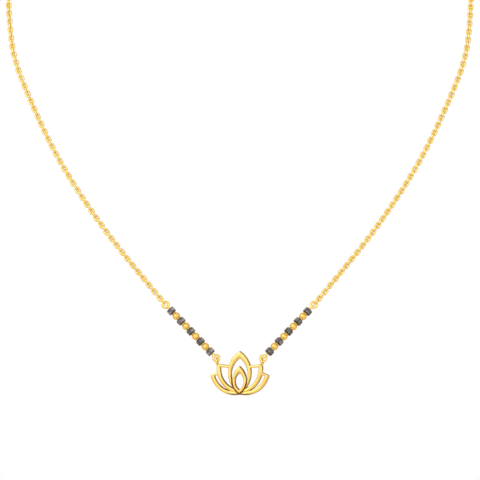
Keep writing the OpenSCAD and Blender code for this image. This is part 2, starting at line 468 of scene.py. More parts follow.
class ChainRoute:
    """The way of one half of the chain, between the middles of its first and its last link."""

    def __init__(self, side):
        chain = settings().chain
        wires = settings().wires
        clasp = settings().clasp
        points = [mirrored(p, side) for p in ROUTE]
        hold = chain.link_length / 2 - chain.end_wire - chain.end_play
        end_gap = hold - clasp.wire / 2
        for _ in range(ROUTE_ROUNDS):
            points = refined(points)
        way = (points[1] - points[0]).normalized()
        face = BeadString(side).face
        level = (way - face * way.dot(face)).normalized()
        start = points[0] + level * wires.eye_top + way * (hold - wires.eye_wire / 2)
        start_gap = (start - points[0]).length
        end = points[-1] + (points[-2] - points[-1]).normalized() * end_gap
        inner = [
            p for p in points
            if (p - points[0]).length > start_gap and (p - points[-1]).length > end_gap
        ]
        self.points = [start] + inner + [end]
        self.marks = [0.0]
        for a, b in zip(self.points, self.points[1:]):
            self.marks.append(self.marks[-1] + (b - a).length)
        self.length = self.marks[-1]

    def at(self, distance):
        """The point at a distance along the route."""
        i = 0
        while i < len(self.marks) - 2 and self.marks[i + 1] < distance:
            i += 1
        share = (distance - self.marks[i]) / (self.marks[i + 1] - self.marks[i])
        return self.points[i].lerp(self.points[i + 1], share)


# Node groups and materials

# Clouds and scratches of the polish: detail of the noise, and the range of it that shows
CLOUD_DETAIL, CLOUD_RANGE = 3, (0.35, 0.68)
SCRATCH_DETAIL, SCRATCH_RANGE = 6, (0.3, 0.75)
# Scratches are drawn out to streaks, which slant over the piece
SCRATCH_STRETCH, SCRATCH_SLANT = (1, 0.12, 0.12), (0.4, 0.6, 0.9)
# How each gold is worn: scale of the clouds, least and most roughness as shares of the polish
# setting, depth of the waves, and how metallic it is
WEAR = {
    "cast": (300.0, 0.8, 1.5, 0.000004, 1),
    "drawn": (900.0, 1.2, 2, 0.000002, 1),
    "ball": (1100.0, 2.2, 3.2, 0.000002, 0.75),
}

# Masks of the lotus that place its painted shade, each a range and for some its softness. These
# are of the share of the surface's normal that points back, right, up, or the way that a valley
# between petals opens
WALL_BACKWARD = (-0.4, 0.6, 0.1)
FRONT_BACKWARD = (-0.9, -0.7)
BACK_BACKWARD = (0.7, 0.9)
SHADE_RIGHTWARD = (0.8, 0.9)
SHADE_UPWARD = (-0.06, 0.34, 0.06)
BENEATH_UPWARD = (-0.35, -0.12)
VALLEY_OPENWARD = (0.4, 0.6)
VALLEY_RIGHT, VALLEY_UP = 0.35, 0.94
# These are of the distance from the foot, the height over the base and the depth behind the
# groove's floor
FOOT_REACH = (4 * MM, 7 * MM)
VALLEY_REACH = (2.6 * MM, 5.8 * MM, 0.7 * MM)
BENEATH_REACH = (2.4 * MM, 4 * MM)
BENEATH_HEIGHT = (0.15 * MM, 0.5 * MM)
GROOVE_FLOOR = (-0.04 * MM, 0.1 * MM, 0.01 * MM)

# Black glass: how far a surface faces along the string where it is a dull rim
RIM_FACING = (0.2, 0.4)
# Scale of the noise that gives each facet its tone, and its range from black to smoke
FACET_SCALE, FACET_TONES = 4.6, (0.47, 0.62)
# Scale, detail and range of its cloud, its roughness there, and its depth
GLASS_CLOUD, GLASS_CLOUD_DETAIL, GLASS_CLOUD_RANGE = 1400.0, 2, (0.3, 0.7)
GLASS_HAZE, GLASS_WAVE = (0.08, 0.2), 0.000003
# How strongly the facets and the rims reflect, and how strongly the glass bends light
FACET_SHINE, RIM_SHINE, GLASS_IOR = 0.5, 0.12, 1.95


def new_group(name, inputs, outputs):
    """A shader node group with these sockets, each given by its name, type and value."""
    group = bpy.data.node_groups.new(name, "ShaderNodeTree")
    for label, kind, value in inputs:
        socket = group.interface.new_socket(label, in_out="INPUT", socket_type=kind)
        socket.default_value = value
    for label, kind in outputs:
        group.interface.new_socket(label, in_out="OUTPUT", socket_type=kind)
    return group, group.nodes.new("NodeGroupInput"), group.nodes.new("NodeGroupOutput")


def new_material(name):
    """The tree and the Principled shader of a new material."""
    material = bpy.data.materials.new(name)
    material.use_nodes = True
    tree = material.node_tree
    tree.nodes.clear()
    shader = tree.nodes.new("ShaderNodeBsdfPrincipled")
    output = tree.nodes.new("ShaderNodeOutputMaterial")
    tree.links.new(shader.outputs["BSDF"], output.inputs["Surface"])
    return tree, shader


def feed(tree, socket, value):
    """Sets an input to a number, or links it to an output."""
    if isinstance(value, (int, float)):
        socket.default_value = value
    else:
        tree.links.new(value, socket)


def noise(tree, vector, scale, detail):
    """A noise on a vector."""
    node = tree.nodes.new("ShaderNodeTexNoise")
    node.inputs["Detail"].default_value = detail
    tree.links.new(vector, node.inputs["Vector"])
    feed(tree, node.inputs["Scale"], scale)
    return node.outputs["Fac"]


def mapped(tree, value, low, high, to_low=0, to_high=1):
    """A value mapped from one range to another, whose ends may be outputs."""
    node = tree.nodes.new("ShaderNodeMapRange")
    node.inputs["From Min"].default_value = low
    node.inputs["From Max"].default_value = high
    tree.links.new(value, node.inputs["Value"])
    feed(tree, node.inputs["To Min"], to_low)
    feed(tree, node.inputs["To Max"], to_high)
    return node.outputs["Result"]


def blended(tree, share, first, second):
    """A mix of two colours by a share."""
    node = tree.nodes.new("ShaderNodeMix")
    node.data_type = "RGBA"
    tree.links.new(share, node.inputs["Factor"])
    tree.links.new(first, node.inputs["A"])
    tree.links.new(second, node.inputs["B"])
    return node.outputs["Result"]


def plain_colour(tree, shade):
    """A fixed colour."""
    socket = tree.nodes.new("ShaderNodeRGB").outputs["Color"]
    socket.default_value = (*shade, 1)
    return socket


def ramp(tree, value, stops):
    """Colours that follow each other along a value, each given by its place and shade."""
    node = tree.nodes.new("ShaderNodeValToRGB")
    elements = node.color_ramp.elements
    while len(elements) < len(stops):
        elements.new(0.5)
    for element, (place, shade) in zip(elements, stops):
        element.position = place
        element.color = (*shade, 1)
    tree.links.new(value, node.inputs["Fac"])
    return node.outputs["Color"]


def bump(tree, height, depth, under=None):
    """The normal of a surface with bumps of a depth, which may lie on other bumps."""
    node = tree.nodes.new("ShaderNodeBump")
    node.inputs["Strength"].default_value = 1
    feed(tree, node.inputs["Distance"], depth)
    tree.links.new(height, node.inputs["Height"])
    if under is not None:
        tree.links.new(under, node.inputs["Normal"])
    return node.outputs["Normal"]


def counted(tree, operation, *values):
    """One or two values put through a step of arithmetic."""
    node = tree.nodes.new("ShaderNodeMath")
    node.operation = operation
    for socket, value in zip(node.inputs, values):
        tree.links.new(value, socket)
    return node.outputs["Value"]


def measured(tree, operation, vector, fixed):
    """A vector measured against a fixed one."""
    node = tree.nodes.new("ShaderNodeVectorMath")
    node.operation = operation
    node.inputs[1].default_value = fixed
    tree.links.new(vector, node.inputs[0])
    return node.outputs["Value"]


def along(tree, vector, way):
    """The share of a vector along a fixed direction."""
    return measured(tree, "DOT_PRODUCT", vector, way)


def both(tree, first, second):
    """A mask that is 1 where two masks are."""
    return counted(tree, "MULTIPLY", first, second)


def either(tree, first, second):
    """A mask that is 1 where one of two masks is."""
    return counted(tree, "MAXIMUM", first, second)


def between(tree, value, low, high, soft):
    """A soft mask that is 1 where a value lies between two ends."""
    rise = mapped(tree, value, low - soft, low + soft)
    fall = mapped(tree, value, high - soft, high + soft, 1, 0)
    return both(tree, rise, fall)


def handled_polish_group():
    """Polished metal as it leaves the wheel: soft waves, fine scratches and a little cloud."""
    number, shade = "NodeSocketFloat", "NodeSocketColor"
    group, given, put = new_group(
        "handled_polish",
        [
            ("Metal", shade, (0.95, 0.7, 0.25, 1)),
            ("Deep Metal", shade, (0.85, 0.55, 0.15, 1)),
            ("Cloud Scale", number, 700.0),
            ("Scratch Scale", number, 9000.0),
            ("Low Roughness", number, 0.08),
            ("High Roughness", number, 0.2),
            ("Wave Depth", number, 0.000004),
            ("Scratch Depth", number, 0.0000002),
        ],
        [("Color", shade), ("Roughness", number), ("Normal", "NodeSocketVector")],
    )
    given = given.outputs
    place = group.nodes.new("ShaderNodeTexCoord").outputs["Object"]
    cloud = noise(group, place, given["Cloud Scale"], CLOUD_DETAIL)
    streaks = group.nodes.new("ShaderNodeMapping")
    streaks.inputs["Scale"].default_value = SCRATCH_STRETCH
    streaks.inputs["Rotation"].default_value = SCRATCH_SLANT
    group.links.new(place, streaks.inputs["Vector"])
    scratch = noise(group, streaks.outputs["Vector"], given["Scratch Scale"], SCRATCH_DETAIL)
    share = mapped(group, cloud, *CLOUD_RANGE)
    waves = bump(group, cloud, given["Wave Depth"])
    results = {
        "Color": blended(group, share, given["Metal"], given["Deep Metal"]),
        "Roughness": mapped(
            group, scratch, *SCRATCH_RANGE, given["Low Roughness"], given["High Roughness"]
        ),
        "Normal": bump(group, scratch, given["Scratch Depth"], waves),
    }
    for label, result in results.items():
        group.links.new(result, put.inputs[label])
    return group


def gold_material(name, group, metal, deep, wear):
    """Gold with the shared polish, in two tones and worn in one of the known ways."""
    cloud_scale, least, most, wave, metallic = WEAR[wear]
    roughness = settings().finish.polish
    tree, shader = new_material(name)
    polish = tree.nodes.new("ShaderNodeGroup")
    polish.node_tree = group
    values = {
        "Metal": (*metal, 1),
        "Deep Metal": (*deep, 1),
        "Cloud Scale": cloud_scale,
        "Low Roughness": roughness * least,
        "High Roughness": roughness * most,
        "Wave Depth": wave,
    }
    for label, value in values.items():
        polish.inputs[label].default_value = value
    shader.inputs["Metallic"].default_value = metallic
    tree.links.new(polish.outputs["Color"], shader.inputs["Base Color"])
    tree.links.new(polish.outputs["Roughness"], shader.inputs["Roughness"])
    tree.links.new(polish.outputs["Normal"], shader.inputs["Normal"])
    return tree, shader, polish


def lotus_masks(tree):
    """Masks of the lotus: its walls, the painted shade on them and in its valleys, the darkest
    painted shade in the groove and on its underside, and its back.
    """
    lotus = settings().lotus
    base = Vector(lotus.base)
    turned = lotus_place().to_3x3()
    backward, sideways = turned @ Vector((0, 1, 0)), turned @ RIGHT
    given = tree.nodes.new("ShaderNodeTexCoord").outputs
    place, normal = given["Object"], given["Normal"]
    facing = along(tree, normal, backward)
    rising = along(tree, normal, UP)
    reach = measured(tree, "DISTANCE", place, base + lotus.foot_height * UP)

    on_wall = between(tree, facing, *WALL_BACKWARD)
    turned_right = both(
        tree,
        mapped(tree, along(tree, normal, sideways), *SHADE_RIGHTWARD),
        between(tree, rising, *SHADE_UPWARD),
    )
    near_foot = mapped(tree, reach, *FOOT_REACH, 1, 0)
    opening = (sideways * VALLEY_RIGHT + UP * VALLEY_UP).normalized()
    in_valley = both(
        tree,
        mapped(tree, along(tree, normal, opening), *VALLEY_OPENWARD),
        between(tree, reach, *VALLEY_REACH),
    )
    in_shade = both(tree, on_wall, either(tree, turned_right, near_foot))
    in_shade = either(tree, in_shade, in_valley)

    low, high = (base.z + height for height in BENEATH_HEIGHT)
    underside = both(
        tree,
        mapped(tree, rising, *BENEATH_UPWARD, 1, 0),
        mapped(tree, along(tree, place, UP), low, high, 1, 0),
    )
    beneath = both(tree, underside, mapped(tree, reach, *BENEATH_REACH, 1, 0))
    floor = backward.dot(base) + GROOVE_DEPTH
    first, last, soft = GROOVE_FLOOR
    in_groove = both(
        tree,
        between(tree, along(tree, place, backward), floor + first, floor + last, soft),
        mapped(tree, facing, *FRONT_BACKWARD, 1, 0),
    )
    # Painted shade in the groove and on the underside near the foot
    in_dark_shade = either(tree, in_groove, beneath)
    return on_wall, in_shade, in_dark_shade, mapped(tree, facing, *BACK_BACKWARD)


def lotus_gold_material(name, group):
    """Gold of the lotus: polished in front, with painted shade on its walls and between petals, the
    darkest painted shade in the groove and beneath, and dull behind.
    """
    finish = settings().finish
    tree, shader, polish = gold_material(name, group, finish.gold, finish.deep_gold, "cast")
    on_wall, in_shade, in_dark_shade, on_back = lotus_masks(tree)
    # Painted shade on the walls of the lotus
    tone = blended(tree, on_wall, polish.outputs["Color"], plain_colour(tree, finish.wall_gold))
    tone = blended(tree, in_shade, tone, plain_colour(tree, finish.shade_gold))
    # Darkest painted shade, in the groove and on the underside near the foot
    tone = blended(tree, in_dark_shade, tone, plain_colour(tree, finish.dark_shade_gold))
    tree.links.new(tone, shader.inputs["Base Color"])
    rough = tree.nodes.new("ShaderNodeMix")
    tree.links.new(on_back, rough.inputs["Factor"])
    tree.links.new(polish.outputs["Roughness"], rough.inputs["A"])
    rough.inputs["B"].default_value = finish.matte
    tree.links.new(rough.outputs["Result"], shader.inputs["Roughness"])


def black_glass_material(name, way):
    """Black glass of the beads along a way: facets of unlike tones between two dull rims."""
    finish = settings().finish
    tree, shader = new_material(name)
    given = tree.nodes.new("ShaderNodeTexCoord").outputs
    tilt = counted(tree, "ABSOLUTE", along(tree, given["Normal"], way))
    on_rim = mapped(tree, tilt, *RIM_FACING)
    facet = noise(tree, given["Normal"], FACET_SCALE, 0)
    cloud = noise(tree, given["Object"], GLASS_CLOUD, GLASS_CLOUD_DETAIL)
    tones = ramp(tree, facet, list(zip(FACET_TONES, (finish.black, finish.smoke))))
    results = {
        "Base Color": blended(tree, on_rim, tones, plain_colour(tree, finish.black)),
        "Roughness": mapped(tree, cloud, *GLASS_CLOUD_RANGE, *GLASS_HAZE),
        "Specular IOR Level": mapped(tree, on_rim, 0, 1, FACET_SHINE, RIM_SHINE),
        "Normal": bump(tree, cloud, GLASS_WAVE),
    }
    for label, result in results.items():
        tree.links.new(result, shader.inputs[label])
    shader.inputs["IOR"].default_value = GLASS_IOR


class MANGALSUTRA_OT_finishes(Operator):
    """Makes the gold and the black glass finishes"""

    bl_idname = "mangalsutra.finishes"
    bl_label = "Finishes"

    def execute(self, context):
        finish = settings().finish
        group = handled_polish_group()
        lotus_gold_material("lotus_gold", group)
        gold_material("cast_gold", group, finish.gold, finish.deep_gold, "cast")
        gold_material("drawn_gold", group, finish.pale_gold, finish.pale_deep, "drawn")
        gold_material("ball_gold", group, finish.ball_gold, finish.deep_gold, "ball")
        for side in SIDES:
            black_glass_material(f"black_glass_{side}", BeadString(side).way)
        return {"FINISHED"}


# The chain

# Uneven sway of the links: step of its sine from link to link, and its start on each side
SWAY_STEP, SWAY_START = 12.9, 1.3


def link_master(wire):
    """One oval link at the origin, long along Z and flat in the XZ plane."""
    chain = settings().chain
    link = wire_ring(
        (chain.link_width - wire) / 2, wire, turn=(math.pi / 2, 0, 0),
        steps=chain.bend_steps, sides=chain.wire_sides,
    )
    # Half a section round, so that no corner lies between the two ends
    bake_place(link, Matrix.Rotation(math.pi / chain.bend_steps, 4, "Y"))
    edit(link)
    stretch = (chain.link_length - chain.link_width) / 2
    for end in (-1, 1):
        select_where("verts", lambda v: v.co.z * end > 0)
        bpy.ops.transform.translate(value=(0, 0, end * stretch))
    choose(link)
    bpy.ops.object.shade_smooth()
    return link


def carried_along(places, face):
    """The way along the route at each place, and the face carried along without a twist."""
    ways, faces = [], []
    for before, after in zip(places[:1] + places[:-1], places[1:] + places[-1:]):
        way = (after - before).normalized()
        face = (face - way * face.dot(way)).normalized()
        ways.append(way)
        faces.append(face)
    return ways, faces


def last_twist(way, face):
    """The least turn about the way that sets the face upright, either way up."""
    upright = (UP - way * UP.dot(way)).normalized()
    twist = face.angle(upright)
    if face.cross(upright).dot(way) < 0:
        twist = -twist
    if abs(twist) > math.pi / 2:
        twist -= math.copysign(math.pi, twist)
    return twist


def chain_of_links(side, master, end_master):
    """One half of the chain: real links, each through the next."""
    chain = settings().chain
    route = ChainRoute(side)
    pitch = chain.link_length - 2 * chain.wire - chain.play
    steps = math.ceil(route.length / pitch)
    # The last link lies flat in the clasp's upright eye, and stands in the flat closed ring
    last_is_flat = side == "right"
    if (steps % 2 == 1) != last_is_flat:
        steps += 1
    places = [route.at(route.length * i / steps) for i in range(steps + 1)]
    ways, faces = carried_along(places, BeadString(side).face)
    twist = last_twist(ways[-1], faces[-1])
    links = []
    for i, (place, way, face) in enumerate(zip(places, ways, faces)):
        inside = 0 < i < steps
        sway = chain.sway * math.sin(SWAY_STEP * i + SWAY_START * SIDES[side]) if inside else 0
        roll = twist * i / steps + sway + (0 if i % 2 else math.pi / 2)
        turned = Matrix.Rotation(roll, 3, way) @ face
        links.append(copy_to(master if inside else end_master, frame_at(place, way, turned)))
    return join(f"chain_links_{side}", links)


class MANGALSUTRA_OT_chains(Operator):
    """Lays the two halves of the cable chain, link by link"""

    bl_idname = "mangalsutra.chains"
    bl_label = "Chains"

    def execute(self, context):
        chain = settings().chain
        masters = [link_master(chain.wire), link_master(chain.end_wire)]
        for side in SIDES:
            piece = bake_place(chain_of_links(side, *masters))
            hand_in(piece, "drawn_gold", "necklace", "gold", f"chain_{side}")
        for master in masters:
            discard(master)
        return {"FINISHED"}


# Bead wires

# Degrees that an eye's wire goes round; the drop of solder at its top closes the rest
EYE_SWEEP = 350
# Shares of the drop's radius: how far it lies inside the eye's wire, and half its thickness
DROP_INSET, DROP_FLATNESS = 0.2, 0.66
# Length of a soldered neck as a share of both thicknesses together, and the share of its taper
# that lies in the half beside the eye
NECK_LENGTH, NECK_TAPER = 0.6, 0.6


def eye_loop(radius, wires):
    """A loop of wire about the Y axis, closed by a drop of solder at its top."""
    loop = disc(wires.eye_wire / 2, wires.sides, (0, 0, radius), (0, math.pi / 2, 0))
    spin(loop, EYE_SWEEP, wires.steps)
    drop_height = radius - wires.solder * DROP_INSET
    drop = ball(wires.solder, 20, 12, (0, 0, drop_height), (1, DROP_FLATNESS, 1))
    return join("eye", [loop, drop])


def straight_wire(start, end, wires):
    """The straight wire along Z between two eyes, thicker at the soldered necks."""
    neck = NECK_LENGTH * (wires.neck + wires.wire)
    thin = wires.wire / wires.neck
    tapered = 1 - NECK_TAPER * (1 - thin)
    wire = disc(wires.neck / 2, wires.sides, (0, 0, start))
    edit(wire, everything=True)
    height, width = start, 1
    for next_height, next_width in (
        (start + neck / 2, tapered), (start + neck, thin),
        (end - neck, thin), (end - neck / 2, tapered), (end, 1),
    ):
        extrude_up(next_height - height, next_width / width)
        height, width = next_height, next_width
    face_outward(wire)
    return wire


class MANGALSUTRA_OT_bead_wires(Operator):
    """Bends the wires that the beads sit on, with an eye at each end"""

    bl_idname = "mangalsutra.bead_wires"
    bl_label = "Bead Wires"

    def execute(self, context):
        wires = settings().wires
        for side in SIDES:
            string = BeadString(side)
            span = (string.top - string.low).length
            low_eye = eye_loop(wires.eye_low, wires)
            top_eye = eye_loop(wires.eye_top, wires)
            over = Matrix.Rotation(math.pi, 4, "Y")
            bake_place(top_eye, Matrix.Translation((0, 0, span)) @ over)
            wire = straight_wire(wires.eye_low, span - wires.eye_top, wires)
            piece = join(f"eye_wire_{side}", [wire, low_eye, top_eye])
            bake_place(piece, string.place(string.low))
            smooth(piece, degrees=50)
            hand_in(piece, "drawn_gold", "necklace", "gold", f"bead_wire_{side}")
        return {"FINISHED"}


# Beads

# Shares of a gold ball's collar: the part of its rise that is straight, and its width on top
COLLAR_STRAIGHT, COLLAR_TOP = 0.7, 0.88
# Degrees at which an edge of a black bead is sharp enough to be polished round
EDGE_ANGLE = 20


def black_bead_master():
    """A short drum with a hole along Z, faceted wide and narrow in turn, with bevelled rims."""
    beads = settings().beads
    end = beads.black_length / 2
    clear_selection()
    bpy.ops.mesh.primitive_cylinder_add(
        vertices=beads.facets, radius=beads.black_width / 2, depth=beads.black_length
    )
    bead = bpy.context.object
    edit(bead)
    select_where("edges", lambda e: True)
    bpy.ops.mesh.bevel(offset=beads.rim * math.sqrt(2), segments=1, affect="EDGES")
    edit(bead)
    select_where("faces", lambda f: lies_at(f, 2, -end, end))
    flat = beads.black_width / 2 - beads.rim
    bpy.ops.mesh.inset(thickness=(flat - beads.bore / 2) * math.cos(math.pi / beads.facets))
    bpy.ops.mesh.bridge_edge_loops()
    face_outward(bead)
    modify(
        bead, "BEVEL", width=beads.edge, segments=2, limit_method="ANGLE",
        angle_limit=math.radians(EDGE_ANGLE),
    )
    smooth(bead, degrees=12)
    return bead


class MANGALSUTRA_OT_black_beads(Operator):
    """Cuts the black beads and threads them on their wires"""

    bl_idname = "mangalsutra.black_beads"
    bl_label = "Black Beads"

    def execute(self, context):
        beads = settings().beads
        master = black_bead_master()
        for side in SIDES:
            string = BeadString(side)
            for i in BLACK_BEADS:
                node = f"black_bead_{side}_{i}"
                turn = Matrix.Rotation(beads.turn * i * SIDES[side], 4, "Z")
                piece = copy_to(master, string.place(middle(node)) @ turn)
                piece.name = f"black_glass_bead_{side}_{i}"
                bake_place(piece)
                hand_in(piece, f"black_glass_{side}", "necklace", "black", node)
        discard(master)
        return {"FINISHED"}


def gold_bead_master():
    """A round ball with a hole along Z and a small collar round each end of the hole."""
    beads = settings().beads
    radius, reach = beads.gold_width / 2, beads.collar / 2
    bead = ball(radius, 32, 20)
    cut = math.sqrt(radius**2 - reach**2)
    end = radius + beads.collar_rise
    rise = end - cut
    edit(bead)
    for side in (-1, 1):
        bpy.ops.mesh.select_all(action="SELECT")
        bpy.ops.mesh.bisect(
            plane_co=(0, 0, side * cut), plane_no=(0, 0, side),
            use_fill=True, clear_outer=True, threshold=1e-8,
        )
        select_where("faces", lambda f: lies_at(f, 2, side * cut))
        extrude_up(side * rise * COLLAR_STRAIGHT)
        extrude_up(side * rise * (1 - COLLAR_STRAIGHT), COLLAR_TOP)
        extrude_up(0, beads.bore / (beads.collar * COLLAR_TOP))
    # The faces over the hole have more corners than the flat ones round it
    select_where("faces", lambda f: len(f.verts) > 4 and lies_at(f, 2, -end, end))
    bpy.ops.mesh.bridge_edge_loops()
    face_outward(bead)
    smooth(bead, degrees=40)
    return bead


class MANGALSUTRA_OT_gold_beads(Operator):
    """Turns the gold balls between the black beads"""

    bl_idname = "mangalsutra.gold_beads"
    bl_label = "Gold Beads"

    def execute(self, context):
        master = gold_bead_master()
        for side in SIDES:
            string = BeadString(side)
            for i in GOLD_BEADS:
                node = f"gold_bead_{side}_{i}"
                piece = copy_to(master, string.place(middle(node)))
                piece.name = f"gold_ball_{side}_{i}"
                bake_place(piece)
                hand_in(piece, "ball_gold", "necklace", "gold", node)
        discard(master)
        return {"FINISHED"}


# The lotus


class Lens:
    """A pointed oval with round sides: half width, widest height, top and foot, all in mm.

    It is grown outward by a length in metres.
    """

    def __init__(self, half_width, height, top, foot, grow=0):
        self.half_width = half_width * MM
        self.height = height * MM
        self.grow = grow
        self.radii = [
            ((end - height) ** 2 + half_width**2) / (2 * half_width) * MM for end in (top, foot)
        ]

    def side(self, share):
        """A point on the right side, from the top point at 0 to the foot at 1."""
        radius = self.radii[0 if share < 0.5 else 1]
        inset = radius - self.half_width
        radius += self.grow
        turn = math.acos(inset / radius) * (1 - 2 * share)
        return (radius * math.cos(turn) - inset, self.height + radius * math.sin(turn))


# Outlines and openings of the petals in the middle
TALL = (3.05, 5.6, 11.11, -0.1)
TALL_OPENING = (2.15, 4.96, 9.19, 0.73)
SMALL = (1.84, 3.5, 7.26, 0.22)
SMALL_OPENING = (1.1, 3.28, 5.4, 1.16)
# Bands of the right side: centre x and height, radius, first and last angle
MID_ARC = (-0.45, 6.58, 5.96, -90, 3)
OUTER_ARC = (1.38, 6.19, 5.92, -104, -20)
# Upper and lower edge of the bars that close them: x and height at the outer and inner end
MID_BAR = ((5.4, 7.7, 2.56, 7.4), (5.48, 6.98, 2.64, 6.68))
OUTER_BAR = ((7.72, 4.96, 5.45, 5.8), (6.6, 4.74, 5.45, 4.86))
# How far the corners of the tips are drawn out, and how far the round inside a tip reaches
TIP_WEIGHT = {"middle": 1.0, "outer": 3.5}
TIP_ROUND = 0.1 * MM
# Floor of the groove round the small petal's foot, behind the middle plane
GROOVE_DEPTH = -0.05 * MM
# Drop of solder under a ring: x, height, half width and half height
SOLDER = (5.66, 7.6, 0.36, 0.44)
# Least angle in radians at which an edge of a band's back is a sharp one
SHARP = 0.9


def lotus_place():
    """The place of the lotus, which is drawn in X and Z with its front towards -Y."""
    lotus = settings().lotus
    return Matrix.Translation(Vector(lotus.base)) @ Matrix.Rotation(lotus.turn, 4, "Z")


def rounded_front(front, steps=8):
    """Section of a band with a flat back: shares across the band, with depths."""
    lotus = settings().lotus
    section = [(0, lotus.back)]
    for i in range(steps + 1):
        turn = math.pi * i / steps
        fall = lotus.crown * (1 - math.sin(turn))
        share = (1 - math.cos(turn)) / 2
        section.append((lotus.slant + (1 - 2 * lotus.slant) * share, fall - front))
    return section + [(1, lotus.back)]


def lay_section(section, outer, inner):
    """Moves the selected corners of a band's section to their places between its two rails."""
    mesh = bpy.context.edit_object.data
    shape = bmesh.from_edit_mesh(mesh)
    order = shape.verts.layers.int["corner"]
    for vert in shape.verts:
        if vert.select:
            share, depth = section[vert[order]]
            place = Vector(outer).lerp(Vector(inner), share)
            vert.co = (place.x, depth, place.y)
    bmesh.update_edit_mesh(mesh)


def band(name, section, rails):
    """A band swept between two rails by extruding its section from station to station."""
    piece = disc(MM, len(section))
    piece.name = name
    edit(piece, everything=True)
    mesh = piece.data
    shape = bmesh.from_edit_mesh(mesh)
    order = shape.verts.layers.int.new("corner")
    shape.faces.ensure_lookup_table()
    for number, vert in enumerate(shape.faces[0].verts):
        vert[order] = number
    bmesh.update_edit_mesh(mesh)
    lay_section(section, *rails[0])
    for outer, inner in rails[1:]:
        bpy.ops.mesh.extrude_region_move()
        lay_section(section, outer, inner)
    clear_selection()
    return piece


def ease_back(piece):
    """Breaks the sharp edges round a band's flat back."""
    lotus = settings().lotus

    def on_rim(edge):
        level = lies_at(edge, 1, lotus.back)
        return level and len(edge.link_faces) == 2 and edge.calc_face_angle(0) > SHARP

    edit(piece)
    select_where("edges", on_rim)
    bpy.ops.mesh.bevel(offset=lotus.ease, segments=2, affect="EDGES", clamp_overlap=True)
    face_outward(piece)


def mirror_half(piece):
    """Completes a piece that is drawn on the right of the middle plane only."""
    edit(piece)
    select_where("faces", lambda f: lies_at(f, 0, 0))
    bpy.ops.mesh.delete(type="FACE")
    modify(piece, "MIRROR", merge_threshold=MERGED)
    face_outward(piece)


def open_petal(name, outline, opening, front):
    """A petal that is a pointed oval with a pointed oval opening."""
    outer, inner = Lens(*outline), Lens(*opening)
    count = 44
    rails = [(outer.side(i / count), inner.side(i / count)) for i in range(count + 1)]
    piece = band(name, rounded_front(front), rails)
    mirror_half(piece)
    ease_back(piece)
    smooth(piece, degrees=40)
    return piece


def on_arc(arc, degrees, offset):
    """A point at an angle on an arc, moved out from it by an offset."""
    turn = math.radians(degrees)
    radius = arc[2] * MM + offset
    return Vector((
        arc[0] * MM + radius * math.cos(turn), arc[1] * MM + radius * math.sin(turn)
    ))


def crossing(point, way, other, other_way):
    """The point where two lines of the drawing cross."""
    gap = other - point
    share = gap.cross(other_way) / way.cross(other_way)
    return point + way * share


def rounded(start, corner, end, share, weight=1.0):
    """A point on the round that leads from one point to another past a corner."""
    first, middle_part, last = (1 - share) ** 2, 2 * weight * share * (1 - share), share**2
    return (start * first + corner * middle_part + end * last) / (first + middle_part + last)


def side_petal(place, arc, bar, front):
    """A side petal of the right side: a band up its arc, round the tip and along its bar."""
    half = settings().lotus.band / 2
    count = 36
    rails = []
    for i in range(count + 1):
        degrees = arc[3] + (arc[4] - arc[3]) * i / count
        rails.append((on_arc(arc, degrees, half), on_arc(arc, degrees, -half)))
    outer, inner = rails[-1]
    turn = math.radians(arc[4])
    climb = Vector((-math.sin(turn), math.cos(turn)))
    upper, lower = ((Vector(edge[:2]) * MM, Vector(edge[2:]) * MM) for edge in bar)
    upper_way, lower_way = upper[1] - upper[0], lower[1] - lower[0]
    outer_corner = crossing(outer, climb, upper[0], upper_way)
    inner_corner = crossing(inner, climb, lower[0], lower_way)
    inner_end = inner_corner + lower_way.normalized() * TIP_ROUND
    outer_end = crossing(inner_end, Vector((0, 1)), upper[0], upper_way)
    turns = 14
    for i in range(1, turns + 1):
        share = i / turns
        rails.append((
            rounded(outer, outer_corner, outer_end, share, TIP_WEIGHT[place]),
            rounded(inner, inner_corner, inner_end, share),
        ))
    rails.append((upper[1], lower[1]))
    piece = band(f"petal_{place}_right", rounded_front(front), rails)
    face_outward(piece)
    ease_back(piece)
    smooth(piece, degrees=40)
    return piece


def cut_groove(pieces):
    """Sinks the other petals round the foot of the small one, so that it stands free."""
    outline = Lens(*SMALL, grow=settings().lotus.groove)
    floor, over = GROOVE_DEPTH, -2 * MM
    section = [(0, floor), (0, over), (1, over), (1, floor)]
    count = 30
    edge = [outline.side(i / count) for i in range(count + 1)]
    tool = band("groove", section, [((x, height), (0, height)) for x, height in edge])
    mirror_half(tool)
    for piece in pieces:
        modify(piece, "BOOLEAN", operation="DIFFERENCE", solver="EXACT", object=tool)
        smooth(piece, degrees=40)
    discard(tool)


def left_twin(piece, name):
    """The mirror image of a right-hand piece."""
    twin = copy_to(piece, Matrix.Scale(-1, 4, RIGHT))
    twin.name = name
    bake_place(twin)
    face_outward(twin)
    return twin


def pendant_ring():
    """The right ring with the drop of solder that holds it on the middle petal's tip."""
    lotus = settings().lotus
    place = (lotus.ring_x, 0, lotus.hinge_height - lotus.ring_drop)
    ring = wire_ring(lotus.ring, lotus.ring_wire, place, (0, math.pi / 2, 0))
    x, height, half_width, half_height = SOLDER
    drop = ball(MM, 24, 16, (x * MM, 0, height * MM), (half_width, half_width, half_height))
    piece = join("pendant_ring_right", [ring, drop])
    smooth(piece, degrees=60)
    return piece


